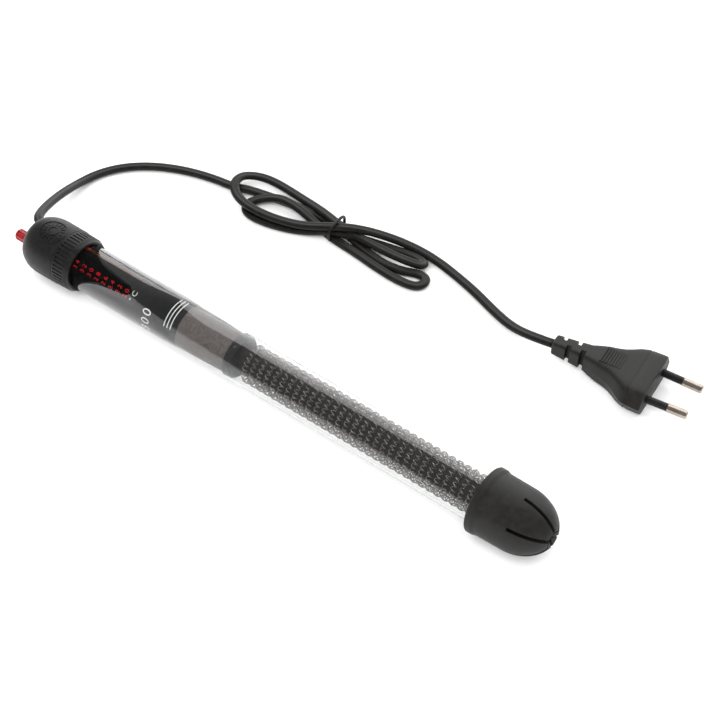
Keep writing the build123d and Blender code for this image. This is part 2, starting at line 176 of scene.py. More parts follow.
def vary(tree, noise, socket, low, high):
    """Drive a socket between two values by a noise."""
    ramp = tree.nodes.new("ShaderNodeMapRange")
    ramp.inputs["From Min"].default_value = NOISE_RANGE[0]
    ramp.inputs["From Max"].default_value = NOISE_RANGE[1]
    ramp.inputs["To Min"].default_value = low
    ramp.inputs["To Max"].default_value = high
    tree.links.new(noise.outputs["Fac"], ramp.inputs["Value"])
    tree.links.new(ramp.outputs["Result"], socket)


def tint(tree, noise, socket, dark, light):
    """Mix two colours by a noise."""
    ramp = tree.nodes.new("ShaderNodeValToRGB")
    ramp.color_ramp.elements[0].position = TINT_RANGE[0]
    ramp.color_ramp.elements[0].color = (*dark, 1)
    ramp.color_ramp.elements[1].position = TINT_RANGE[1]
    ramp.color_ramp.elements[1].color = (*light, 1)
    tree.links.new(noise.outputs["Fac"], ramp.inputs["Fac"])
    tree.links.new(ramp.outputs["Color"], socket)


def moulded(name, dark, light, rough, scale=900.0, depth=0.00006, metal=0.0, coat=0.0, sheen=0.5):
    """Moulded, fired or drawn surface with grain, colour and gloss that vary a little."""
    material, tree, shader = new_material(name)
    noise = add_grain(tree, shader, scale, depth)
    tint(tree, noise, shader.inputs["Base Color"], dark, light)
    vary(tree, noise, shader.inputs["Roughness"], rough - ROUGHNESS_SPREAD, rough + ROUGHNESS_SPREAD)
    shader.inputs["Metallic"].default_value = metal
    shader.inputs["Specular IOR Level"].default_value = sheen
    shader.inputs["Coat Weight"].default_value = coat
    return material


def clear_glass(name):
    """Clear borosilicate that lets light through to what it holds."""
    material, tree, shader = new_material(name)
    shader.inputs["Base Color"].default_value = (0.985, 0.99, 0.99, 1)
    shader.inputs["Roughness"].default_value = 0.0
    shader.inputs["IOR"].default_value = 1.47
    shader.inputs["Transmission Weight"].default_value = 1.0
    clear = tree.nodes.new("ShaderNodeBsdfTransparent")
    path = tree.nodes.new("ShaderNodeLightPath")
    mix = tree.nodes.new("ShaderNodeMixShader")
    output = tree.nodes["Material Output"]
    tree.links.new(path.outputs["Is Shadow Ray"], mix.inputs["Fac"])
    tree.links.new(shader.outputs["BSDF"], mix.inputs[1])
    tree.links.new(clear.outputs["BSDF"], mix.inputs[2])
    tree.links.new(mix.outputs["Shader"], output.inputs["Surface"])
    body = tree.nodes.new("ShaderNodeVolumeAbsorption")
    body.inputs["Color"].default_value = (0.50, 0.53, 0.52, 1)
    body.inputs["Density"].default_value = 110.0
    tree.links.new(body.outputs["Volume"], output.inputs["Volume"])
    return material


def make_materials():
    """Every finish on the heater, by name."""
    return {
        "shell": moulded("black_moulding", (0.005, 0.0049, 0.005), (0.0095, 0.0093, 0.0095), 0.40,
                         scale=700, sheen=0.24),
        "rubber": moulded("black_rubber", (0.008, 0.0076, 0.0071), (0.0135, 0.0128, 0.012), 0.50,
                          scale=420, depth=0.00009, sheen=0.24),
        "red": moulded("red_moulding", (0.19, 0.003, 0.005), (0.30, 0.005, 0.008), 0.34,
                       scale=500, depth=0.00003, coat=0.3),
        "glass": clear_glass("clear_glass"),
        "sleeve": moulded("black_film", (0.003, 0.003, 0.0032), (0.005, 0.005, 0.0055), 0.8,
                          scale=300, depth=0.00001, sheen=0.02),
        "ceramic": moulded("fired_ceramic", (0.070, 0.060, 0.056), (0.110, 0.094, 0.089), 0.75,
                           scale=900, depth=0.00012, sheen=0.1),
        "core": moulded("fired_core", (0.009, 0.007, 0.0065), (0.016, 0.012, 0.012), 0.7,
                        scale=480, depth=0.0001, sheen=0.1),
        "wire": moulded("oxidised_wire", (0.16, 0.135, 0.13), (0.40, 0.35, 0.34), 0.2,
                        scale=900, depth=0.00002, metal=1.0),
        "steel": moulded("plated_steel", (0.45, 0.45, 0.45), (0.65, 0.65, 0.65), 0.3,
                         scale=600, depth=0.00002, metal=1.0),
        "dark_steel": moulded("dull_steel", (0.06, 0.055, 0.05), (0.12, 0.11, 0.10), 0.4,
                              scale=600, depth=0.00002, metal=0.9),
        "brass": moulded("bright_brass", (0.50, 0.33, 0.12), (0.72, 0.52, 0.24), 0.28,
                         scale=600, depth=0.00002, metal=1.0),
        "nickel": moulded("nickel_plate", (0.34, 0.29, 0.25), (0.42, 0.37, 0.32), 0.22,
                          scale=300, depth=0.00001, metal=1.0),
        "sheath": moulded("cord_sheath", (0.0045, 0.0041, 0.0037), (0.0085, 0.008, 0.0074), 0.38,
                          scale=500, depth=0.00005, sheen=0.2),
        "blue": moulded("blue_insulation", (0.01, 0.04, 0.28), (0.02, 0.07, 0.42), 0.4),
        "brown": moulded("brown_insulation", (0.12, 0.04, 0.015), (0.22, 0.09, 0.03), 0.4),
        "red_ink": moulded("red_ink", (0.62, 0.003, 0.006), (0.75, 0.005, 0.009), 0.5,
                           scale=900, depth=0.00001),
        "white_ink": moulded("white_ink", (0.62, 0.62, 0.61), (0.75, 0.75, 0.74), 0.5,
                             scale=900, depth=0.00001),
    }


CAD_FINISH = {
    "clamp_ring": "shell", "collar_gasket": "rubber", "cord_grommet": "rubber", "tube_stopper": "rubber",
    "knob_seal": "rubber", "temperature_knob": "red", "pointer": "red", "knob_spindle": "steel",
    "lead_screw": "brass", "scale_sleeve": "sleeve", "thermostat_frame": "steel", "bimetal_strip": "steel",
    "moving_contact": "brass", "strip_post": "brass", "fixed_contact": "brass", "contact_magnet": "steel",
    "calibration_screw": "brass", "capacitor": "brown", "indicator_lamp": "glass",
    "lamp_resistor": "ceramic", "thermal_fuse": "steel", "live_wire": "brown",
    "neutral_wire": "blue", "insulator_block": "ceramic",
    "centring_ring": "shell", "terminal_rivets": "dark_steel", "ceramic_core": "core", "return_wire": "wire",
    "end_spacer": "ceramic", "end_guard": "rubber", "plug_pins": "nickel", "pin_sleeves": "shell",
}
MATERIALS = {}


# ---- mesh helpers ----
CAP_SHARE = 0.7
LETTER_CURVE_STEPS = 3
SPLIT_ROUNDS = 4


def finish_piece(name, mesh, finish, body, nodes, smooth=True):
    """Make a mesh into a piece that rides on a body and stands for CAD nodes."""
    piece = bpy.data.objects.new(name, mesh)
    bpy.context.scene.collection.objects.link(piece)
    mesh.materials.clear()
    mesh.materials.append(MATERIALS[finish])
    for face in mesh.polygons:
        face.use_smooth = smooth
    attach(piece, body)
    if nodes:
        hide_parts(*nodes)
    return piece


def mesh_from(name, points, faces):
    """Mesh with merged doubles and outward faces."""
    mesh = bpy.data.meshes.new(name)
    mesh.from_pydata(points, [], faces)
    work = bmesh.new()
    work.from_mesh(mesh)
    bmesh.ops.remove_doubles(work, verts=work.verts, dist=1e-7)
    bmesh.ops.recalc_face_normals(work, faces=work.faces)
    work.to_mesh(mesh)
    work.free()
    return mesh


def lathe(name, outline, segments=128):
    """Closed ring of (x, radius) outline turned round the tube's axis."""
    points = []
    faces = []
    count = len(outline)
    for step in range(segments):
        turn = 2 * pi * step / segments
        for x, radius in outline:
            points.append((x, radius * cos(turn), AXIS_Z + radius * sin(turn)))
    for step in range(segments):
        following = (step + 1) % segments
        for here in range(count):
            after = (here + 1) % count
            faces.append((step * count + here, step * count + after,
                          following * count + after, following * count + here))
    return mesh_from(name, points, faces)


def loft(name, sections):
    """Closed skin through rings of equal point count, capped at both ends."""
    count = len(sections[0])
    points = [p for ring in sections for p in ring]
    faces = [tuple(reversed(range(count))), tuple(range(len(points) - count, len(points)))]
    for level in range(len(sections) - 1):
        for here in range(count):
            after = (here + 1) % count
            faces.append((level * count + here, level * count + after,
                          (level + 1) * count + after, (level + 1) * count + here))
    return mesh_from(name, points, faces)


def on_drum(x, along, radius, angle):
    """Point on a drum round the tube's axis: along runs the way print reads."""
    turn = radians(angle) - along / radius
    return Vector((x, radius * cos(turn), AXIS_Z + radius * sin(turn)))


def split_long_edges(mesh, limit):
    """Divide edges so that a flat shape can bend round a drum."""
    work = bmesh.new()
    work.from_mesh(mesh)
    for _ in range(SPLIT_ROUNDS):
        long_edges = [edge for edge in work.edges if edge.calc_length() > limit]
        if not long_edges:
            break
        bmesh.ops.subdivide_edges(work, edges=long_edges, cuts=1)
    bmesh.ops.triangulate(work, faces=work.faces)
    work.to_mesh(mesh)
    work.free()


def wrapped_text(words, size, x, angle, radius, depth, spread=0.45, thin=-0.022):
    """Lettering bent round the sleeve, its tops towards the head."""
    curve = bpy.data.curves.new("lettering", "FONT")
    curve.body = words
    curve.size = size / CAP_SHARE
    curve.align_x = "CENTER"
    curve.align_y = "CENTER"
    curve.space_character = 1.0 + spread
    curve.offset = thin * size
    curve.extrude = depth / 2
    curve.resolution_u = LETTER_CURVE_STEPS
    flat = bpy.data.objects.new("lettering", curve)
    bpy.context.scene.collection.objects.link(flat)
    mesh = bpy.data.meshes.new_from_object(flat)
    bpy.data.objects.remove(flat)
    split_long_edges(mesh, size / 3)
    for point in mesh.vertices:
        height = radius + point.co.z + depth / 2
        point.co = on_drum(x - point.co.y, point.co.x * height / radius, height, angle)
    return mesh


def join_meshes(name, meshes):
    """One mesh holding several."""
    work = bmesh.new()
    for mesh in meshes:
        work.from_mesh(mesh)
        bpy.data.meshes.remove(mesh)
    joined = bpy.data.meshes.new(name)
    bmesh.ops.remove_doubles(work, verts=work.verts, dist=1e-8)
    bmesh.ops.recalc_face_normals(work, faces=work.faces)
    work.to_mesh(joined)
    work.free()
    return joined


def evaluated_mesh(source):
    """Plain mesh of an object with its modifiers; the object is removed."""
    graph = bpy.context.evaluated_depsgraph_get()
    mesh = bpy.data.meshes.new_from_object(source.evaluated_get(graph), depsgraph=graph)
    bpy.data.objects.remove(source)
    return mesh


# ---- geometry node helpers ----
class Tree:
    """A geometry node tree with named inputs and short ways to add maths."""

    def __init__(self, name, inputs):
        self.group = bpy.data.node_groups.new(name, "GeometryNodeTree")
        self.group.interface.new_socket("Geometry", in_out="INPUT", socket_type="NodeSocketGeometry")
        self.sockets = {}
        for label, kind in inputs:
            self.sockets[label] = self.group.interface.new_socket(label, in_out="INPUT", socket_type=kind)
        self.group.interface.new_socket("Geometry", in_out="OUTPUT", socket_type="NodeSocketGeometry")
        self.source = self.group.nodes.new("NodeGroupInput")
        self.sink = self.group.nodes.new("NodeGroupOutput")

    def node(self, kind, **values):
        made = self.group.nodes.new(kind)
        for key, value in values.items():
            setattr(made, key, value)
        return made

    def link(self, start, end):
        self.group.links.new(start, end)

    def maths(self, operation, *terms):
        made = self.node("ShaderNodeMath", operation=operation)
        for socket, term in zip(made.inputs, terms):
            if isinstance(term, (int, float)):
                socket.default_value = term
            else:
                self.link(term, socket)
        return made.outputs[0]

    def named(self, label):
        return self.source.outputs[label]

    def finish(self, geometry, material):
        realise = self.node("GeometryNodeRealizeInstances")
        paint = self.node("GeometryNodeSetMaterial")
        paint.inputs["Material"].default_value = material
        self.link(geometry, realise.inputs["Geometry"])
        self.link(realise.outputs["Geometry"], paint.inputs["Geometry"])
        self.link(paint.outputs["Geometry"], self.sink.inputs[0])

    def mesh(self, values):
        """Run the tree on an empty object and hand back a plain mesh."""
        holder = bpy.data.objects.new("holder", bpy.data.meshes.new("holder"))
        bpy.context.scene.collection.objects.link(holder)
        modifier = holder.modifiers.new("nodes", "NODES")
        modifier.node_group = self.group
        for label, value in values.items():
            modifier[self.sockets[label].identifier] = value
        return evaluated_mesh(holder)


# ---- operators ----
class HEATER_OT_finishes(bpy.types.Operator):
    """Give each CAD sub-part that shows its own finish"""
    bl_idname = "heater.finishes"
    bl_label = "Finishes"

    def execute(self, context):
        MATERIALS.update(make_materials())
        for node, finish in CAD_FINISH.items():
            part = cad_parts[node]
            part.data.materials.clear()
            part.data.materials.append(MATERIALS[finish])
        return {"FINISHED"}


HEAD_CURVE = [(0.0, 8.6), (0.3, 9.5), (0.9, 10.5), (1.9, 11.5), (3.2, 12.25), (4.8, 12.9), (6.8, 13.45),
              (9.0, 13.78), (11.0, 13.9), (22.0, 13.82), (22.5, 13.6)]
SHELL_LENGTH = HEAD_CURVE[-1][0]
HEAD_BORE_R = 11.9
HEAD_BORE_START = 11
CAVITY_R = 9.5
END_WALL = 3.5
DEVICE_ANGLE = 98
DEVICE_PLACE = 14.5
DEVICE_HEIGHT = 0.34
DEVICE_SINK = 0.3
DEVICE_RINGS = ((6.4, 6.9), (2.2, 2.8))
RING_PARTS = 48
TICK_COUNT = 16
TICK_START = 3.6
TICK_END = 5.7
TICK_HALF_WIDTH = 0.28
MOULD_LINE_ANGLE = 202
MOULD_LINE_STEPS = 39
MOULD_LINE_START = 1.0
MOULD_LINE_MARGIN = 1.5
MOULD_LINE_SECTION = ((-0.18, -0.2), (0.18, -0.2), (0.05, 0.12), (-0.05, 0.12))


def head_radius(x):
    """Outside radius of the head shell at x."""
    reach = (x - HEAD_START) / MM
    for (x0, r0), (x1, r1) in zip(HEAD_CURVE, HEAD_CURVE[1:]):
        if reach <= x1:
            return MM * (r0 + (r1 - r0) * max(0.0, (reach - x0) / (x1 - x0)))
    return MM * HEAD_CURVE[-1][1]


class HEATER_OT_head(bpy.types.Operator):
    """Make the rounded head shell with its raised ring device and mould line"""
    bl_idname = "heater.head"
    bl_label = "Head shell"

    def execute(self, context):
        start = HEAD_START
        outside = [(start + x * MM, r * MM) for x, r in HEAD_CURVE]
        inner = [(SHELL_LENGTH, HEAD_BORE_R), (HEAD_BORE_START, HEAD_BORE_R), (END_WALL, CAVITY_R),
                 (END_WALL, 0.0), (0.0, 0.0)]
        inside = [(start + x * MM, r * MM) for x, r in inner]
        shell = lathe("head_shell_skin", outside + inside)
        finish_piece("head_shell_skin", shell, "shell", "root", ["head_shell"])
        self.device()
        self.mould_line()
        return {"FINISHED"}

    def raised(self, corners):
        """Raised patch over (x, along) corners on the shell."""
        low = []
        high = []
        for x, along in corners:
            radius = head_radius(x)
            low.append(on_drum(x, along, radius - DEVICE_SINK * MM, DEVICE_ANGLE))
            high.append(on_drum(x, along, radius + DEVICE_HEIGHT * MM, DEVICE_ANGLE))
        count = len(corners)
        faces = [tuple(range(count)), tuple(range(count, 2 * count))]
        faces += [(i, (i + 1) % count, count + (i + 1) % count, count + i) for i in range(count)]
        return mesh_from("patch", low + high, faces)

    def device(self):
        """Two rings and a ring of ticks, moulded proud of the shell."""
        middle = HEAD_START + DEVICE_PLACE * MM
        patches = []
        for inner, outer in DEVICE_RINGS:
            for step in range(RING_PARTS):
                turns = [2 * pi * (step + k) / RING_PARTS for k in (0, 1)]
                corners = [(r * MM, t) for r, t in ((inner, turns[0]), (outer, turns[0]),
                                                    (outer, turns[1]), (inner, turns[1]))]
                patches.append(self.raised([(middle + r * cos(t), r * sin(t)) for r, t in corners]))
        for step in range(TICK_COUNT):
            turn = 2 * pi * step / TICK_COUNT
            way = Vector((cos(turn), sin(turn)))
            side = Vector((-way.y, way.x)) * TICK_HALF_WIDTH * MM
            near = way * TICK_START * MM
            far = way * TICK_END * MM
            ends = (near - side, far - side, far + side, near + side)
            patches.append(self.raised([(middle + p.x, p.y) for p in ends]))
        mesh = join_meshes("head_device", patches)
        finish_piece("head_device", mesh, "shell", "root", [], smooth=False)

    def mould_line(self):
        """Fine ridge where the mould halves met."""
        rings = []
        for step in range(MOULD_LINE_STEPS + 1):
            reach = (SHELL_LENGTH - MOULD_LINE_MARGIN) * step / MOULD_LINE_STEPS
            x = HEAD_START + (MOULD_LINE_START + reach) * MM
            radius = head_radius(x)
            rings.append([on_drum(x, along * MM, radius + lift * MM, MOULD_LINE_ANGLE)
                          for along, lift in MOULD_LINE_SECTION])
        finish_piece("head_mould_line", loft("head_mould_line", rings), "shell", "root", [])


GLASS_WALL = 1.2 * MM
GLASS_END_FLATTENING = 1.5 * MM
GLASS_END_STEPS = 14
GLASS_SEGMENTS = 160


class HEATER_OT_glass(bpy.types.Operator):
    """Make the clear tube with its rounded closed end"""
    bl_idname = "heater.glass"
    bl_label = "Glass tube"

    def execute(self, context):
        bore = GLASS_R - GLASS_WALL
        outside = [(GLASS_LOW[0], GLASS_R), (0.0, GLASS_R)] + self.end(GLASS_R)
        inside = list(reversed(self.end(bore))) + [(0.0, bore), (GLASS_LOW[0], bore)]
        mesh = lathe("glass_tube_skin", outside + inside, GLASS_SEGMENTS)
        finish_piece("glass_tube_skin", mesh, "glass", "root", ["glass_tube"])
        return {"FINISHED"}

    def end(self, radius):
        """Quarter ellipse from the straight wall to the axis."""
        dome = GLASS_HIGH[0] - GLASS_R + GLASS_END_FLATTENING
        reach = radius - GLASS_END_FLATTENING
        turns = [pi / 2 * k / GLASS_END_STEPS for k in range(GLASS_END_STEPS + 1)]
        return [(dome + reach * sin(turn), radius * cos(turn)) for turn in turns]


# places along the sleeve are from the last number of the scale
INK = 0.06 * MM
SCALE_PITCH = 4.35 * MM
SCALE_STEP = 2
SCALE_ANGLE = 134.0
UNIT_HEIGHT = 2.6 * MM
UNIT_PLACE = 4.2 * MM
UNIT_ANGLE = SCALE_ANGLE - 3
RATING_HEIGHT = 4.6 * MM
RATING_PLACE = 14.0 * MM
RATING_ANGLE = 176
BAND_PLACES = (24.2, 26.0, 27.8)
BAND_ANGLE = 112
BAND_SPAN = 96
BAND_STEPS = 40
BAND_HALF_WIDTH = 0.22 * MM


class HEATER_OT_scale(bpy.types.Operator):
    """Print the temperature scale, the rating and the bands on the sleeve"""
    bl_idname = "heater.scale"
    bl_label = "Printed scale"

    def execute(self, context):
        sizes = context.scene.heater.prints
        values = range(sizes.hottest, sizes.coldest - 1, -SCALE_STEP)
        numbers = [
            wrapped_text(str(value), sizes.digit_height, SCALE_HOT + SCALE_PITCH * step, SCALE_ANGLE,
                         SLEEVE_R, INK)
            for step, value in enumerate(values)
        ]
        finish_piece("scale_numbers", join_meshes("scale_numbers", numbers), "red_ink", "root", [],
                     smooth=False)
        coldest = SCALE_HOT + SCALE_PITCH * (len(values) - 1)
        white = [
            wrapped_text("°C", UNIT_HEIGHT, coldest + UNIT_PLACE, UNIT_ANGLE, SLEEVE_R, INK, 0.5, -0.012),
            wrapped_text(sizes.rating, RATING_HEIGHT, coldest + RATING_PLACE, RATING_ANGLE, SLEEVE_R, INK,
                         0.3, 0.0),
        ]
        white += [self.band(coldest + place * MM) for place in BAND_PLACES]
        finish_piece("sleeve_marks", join_meshes("sleeve_marks", white), "white_ink", "root", [],
                     smooth=False)
        return {"FINISHED"}

    def band(self, x):
        """Thin printed band over the part of the sleeve that faces up."""
        half = BAND_HALF_WIDTH
        section = ((-half, 0.0), (half, 0.0), (half, INK), (-half, INK))
        rings = []
        for step in range(BAND_STEPS + 1):
            along = SLEEVE_R * radians(BAND_SPAN / 2 - BAND_SPAN * step / BAND_STEPS)
            rings.append([on_drum(x + dx, along, SLEEVE_R + lift, BAND_ANGLE) for dx, lift in section])
        return loft("band", rings)


POINTS_PER_LOOP = 9.0
WIRE_SIDES = 5
COIL_MARGIN = 2.0 * MM


class HEATER_OT_coil(bpy.types.Operator):
    """Wind the coiled resistance wire round the core"""
    bl_idname = "heater.coil"
    bl_label = "Heating coil"

    def execute(self, context):
        sizes = context.scene.heater.coil
        tree = Tree("wound_coil", [("Turns", "NodeSocketFloat"), ("Loops", "NodeSocketFloat"),
                                   ("Centre radius", "NodeSocketFloat"), ("Loop radius", "NodeSocketFloat"),
                                   ("Wire radius", "NodeSocketFloat"), ("Start", "NodeSocketFloat"),
                                   ("Length", "NodeSocketFloat"), ("Height", "NodeSocketFloat")])
        line = tree.node("GeometryNodeCurvePrimitiveLine")
        points = tree.node("GeometryNodeResampleCurve")
        loops = tree.maths("MULTIPLY", tree.named("Turns"), tree.named("Loops"))
        count = tree.maths("MULTIPLY", loops, POINTS_PER_LOOP)
        tree.link(count, points.inputs["Count"])
        tree.link(line.outputs["Curve"], points.inputs["Curve"])
        factor = tree.node("GeometryNodeSplineParameter").outputs["Factor"]
        round_core = tree.maths("MULTIPLY", tree.maths("MULTIPLY", factor, tree.named("Turns")), 2 * pi)
        round_loop = tree.maths("MULTIPLY", round_core, tree.named("Loops"))
        out = tree.maths("MULTIPLY", tree.named("Loop radius"), tree.maths("COSINE", round_loop))
        radius = tree.maths("ADD", tree.named("Centre radius"), out)
        travel = tree.maths("MULTIPLY", factor, tree.named("Length"))
        advance = tree.maths("ADD", tree.named("Start"), travel)
        sway = tree.maths("MULTIPLY", tree.named("Loop radius"), tree.maths("SINE", round_loop))
        place = tree.node("ShaderNodeCombineXYZ")
        tree.link(tree.maths("ADD", advance, sway), place.inputs["X"])
        tree.link(tree.maths("MULTIPLY", radius, tree.maths("COSINE", round_core)), place.inputs["Y"])
        rise = tree.maths("MULTIPLY", radius, tree.maths("SINE", round_core))
        tree.link(tree.maths("ADD", rise, tree.named("Height")), place.inputs["Z"])
        move = tree.node("GeometryNodeSetPosition")
        tree.link(points.outputs["Curve"], move.inputs["Geometry"])
        tree.link(place.outputs["Vector"], move.inputs["Position"])
        section = tree.node("GeometryNodeCurvePrimitiveCircle")
        section.inputs["Resolution"].default_value = WIRE_SIDES
        tree.link(tree.named("Wire radius"), section.inputs["Radius"])
        wire = tree.node("GeometryNodeCurveToMesh")
        wire.inputs["Fill Caps"].default_value = True
        tree.link(move.outputs["Geometry"], wire.inputs["Curve"])
        tree.link(section.outputs["Curve"], wire.inputs["Profile Curve"])
        tree.finish(wire.outputs["Mesh"], MATERIALS["wire"])
        mesh = tree.mesh({"Turns": float(sizes.turns), "Loops": sizes.loops,
                          "Centre radius": sizes.centre_radius, "Loop radius": sizes.loop_radius,
                          "Wire radius": sizes.wire_radius, "Start": COIL_LOW[0] + COIL_MARGIN,
                          "Length": COIL_HIGH[0] - COIL_LOW[0] - 2 * COIL_MARGIN, "Height": AXIS_Z})
        finish_piece("wound_coil", mesh, "wire", "root", ["heating_coil"])
        return {"FINISHED"}


CORD_ARC_STEPS = 10
PATH_STEPS = 8
PATH_ORDER = 3
TIE_HALF_WIDTH = 7.0 * MM
TIE_HALF_HEIGHT = 4.3 * MM
TIE_WIRE_R = 0.8 * MM
TIE_LEAN = 0.10
TIE_SQUARENESS = 3
TIE_STEPS = 72
TIE_SIDES = 10


def cord_section(width, thickness):
    """Outline of a flat twin cord: two rounds that meet in a groove, as (across, up)."""
    radius = thickness / 2
    centre = width / 2 - radius
    meet = atan2(sqrt(radius ** 2 - centre ** 2), -centre)
    right = [(-1 + 2 * k / CORD_ARC_STEPS) * meet for k in range(CORD_ARC_STEPS + 1)]
    outline = [(centre + radius * cos(a), radius * sin(a)) for a in right]
    outline += [(-x, -y) for x, y in outline]
    return outline


class HEATER_OT_cord(bpy.types.Operator):
    """Lay the flat twin cord from the head, through its hank, to the plug"""
    bl_idname = "heater.cord"
    bl_label = "Cord"

    def execute(self, context):
        sizes = context.scene.heater.cord
        path = self.smooth_path()
        outline = cord_section(sizes.width, sizes.thickness)
        rings = []
        for index, point in enumerate(path):
            before = path[max(0, index - 1)]
            after = path[min(len(path) - 1, index + 1)]
            way = (after - before).normalized()
            across = Vector((0, 0, 1)).cross(way).normalized()
            up = way.cross(across)
            rings.append([point + across * a + up * b for a, b in outline])
        cord = finish_piece("mains_cord", loft("mains_cord", rings), "sheath", "root",
                            ["cord_lead", "cord_hank", "cord_tail"])
        tie = self.tie()
        return {"FINISHED"}

    def smooth_path(self):
        """Points along the cord's smooth line."""
        curve = bpy.data.curves.new("route", "CURVE")
        curve.dimensions = "3D"
        curve.resolution_u = PATH_STEPS
        spline = curve.splines.new("NURBS")
        spline.points.add(len(CORD_ROUTE) - 1)
        for point, place in zip(spline.points, CORD_ROUTE):
            point.co = (*[c * MM for c in place], 1)
        spline.order_u = PATH_ORDER
        spline.use_endpoint_u = True
        route = bpy.data.objects.new("route", curve)
        bpy.context.scene.collection.objects.link(route)
        mesh = bpy.data.meshes.new_from_object(route)
        path = [point.co.copy() for point in mesh.vertices]
        bpy.data.objects.remove(route)
        return path

    def tie(self):
        """Thin round tie drawn about the strands."""
        middle = Vector(TIE_PLACE) * MM
        rings = []
        for step in range(TIE_STEPS):
            turn = 2 * pi * step / TIE_STEPS
            power = TIE_SQUARENESS
            reach = (abs(cos(turn)) ** power + abs(sin(turn)) ** power) ** (-1 / power)
            across = TIE_HALF_WIDTH * cos(turn)
            up = TIE_HALF_HEIGHT * reach * sin(turn)
            centre = middle + Vector((-TIE_LEAN * across, reach * across, up))
            outward = (centre - middle).normalized()
            rings.append([centre + outward * TIE_WIRE_R * cos(a) + Vector((1, 0, 0)) * TIE_WIRE_R * sin(a)
                          for a in [2 * pi * k / TIE_SIDES for k in range(TIE_SIDES)]])
        points = [p for ring in rings for p in ring]
        faces = []
        for step in range(TIE_STEPS):
            here = step * TIE_SIDES
            following = (step + 1) % TIE_STEPS * TIE_SIDES
            for side in range(TIE_SIDES):
                after = (side + 1) % TIE_SIDES
                faces.append((here + side, here + after, following + after, following + side))
        mesh = mesh_from("cord_tie", points, faces)
        return finish_piece("cord_tie", mesh, "sheath", "root", ["twist_tie"])


# distance behind the nose, half-width, half-height, corner power and the flat top's share of the width
PLUG_SECTIONS = [
    (-48.6, 3.1, 3.3, 6, 1.0), (-48.2, 3.5, 3.7, 6, 1.0), (-38.6, 4.1, 4.4, 6, 1.0),
    (-32.0, 4.8, 5.0, 6, 1.0), (-29.0, 6.2, 5.6, 6, 0.95), (-25.0, 7.6, 6.2, 7, 0.92),
    (-21.0, 8.8, 6.4, 8, 0.88), (-18.0, 10.2, 6.5, 9, 0.86), (-15.0, 12.4, 6.6, 10, 0.84),
    (-12.5, 14.6, 6.7, 12, 0.82), (-10.0, 16.3, 6.75, 12, 0.80), (-8.6, 17.0, 6.8, 12, 0.79),
    (-8.2, 17.1, 6.8, 12, 0.79), (-7.9, 16.9, 6.62, 12, 0.79), (-7.5, 16.9, 6.62, 12, 0.79),
    (-7.2, 17.2, 6.8, 12, 0.79), (-1.0, 17.55, 6.82, 12, 0.78), (-0.3, 17.4, 6.7, 12, 0.78),
    (0.0, 17.0, 6.3, 12, 0.78),
]
PLUG_SIDES = 96
PLUG_SHARP_ANGLE = 38
# start, end and side of each slot in the strain relief
RELIEF_SLOTS = [(-45.4, -43.4, 1), (-41.9, -39.7, -1), (-38.6, -36.4, 1), (-35.0, -32.6, -1)]
SLOT_OFFSET = 4.6
SLOT_WIDTH = 7.0
SLOT_HEIGHT = 13.0
RIB_COUNT = 8
RIB_PITCH = 1.3 * MM
RIB_SIZE = (0.65 * MM, 9.6 * MM, 1.4 * MM)
RIB_START = (-25.0 * MM, 0.0, 6.1 * MM)


def plug_matrix():
    """From the plug's own axes to the object's."""
    return Matrix.Translation(Vector(PLUG_NOSE) * MM) @ Matrix.Rotation(radians(PLUG_YAW), 4, "Z")


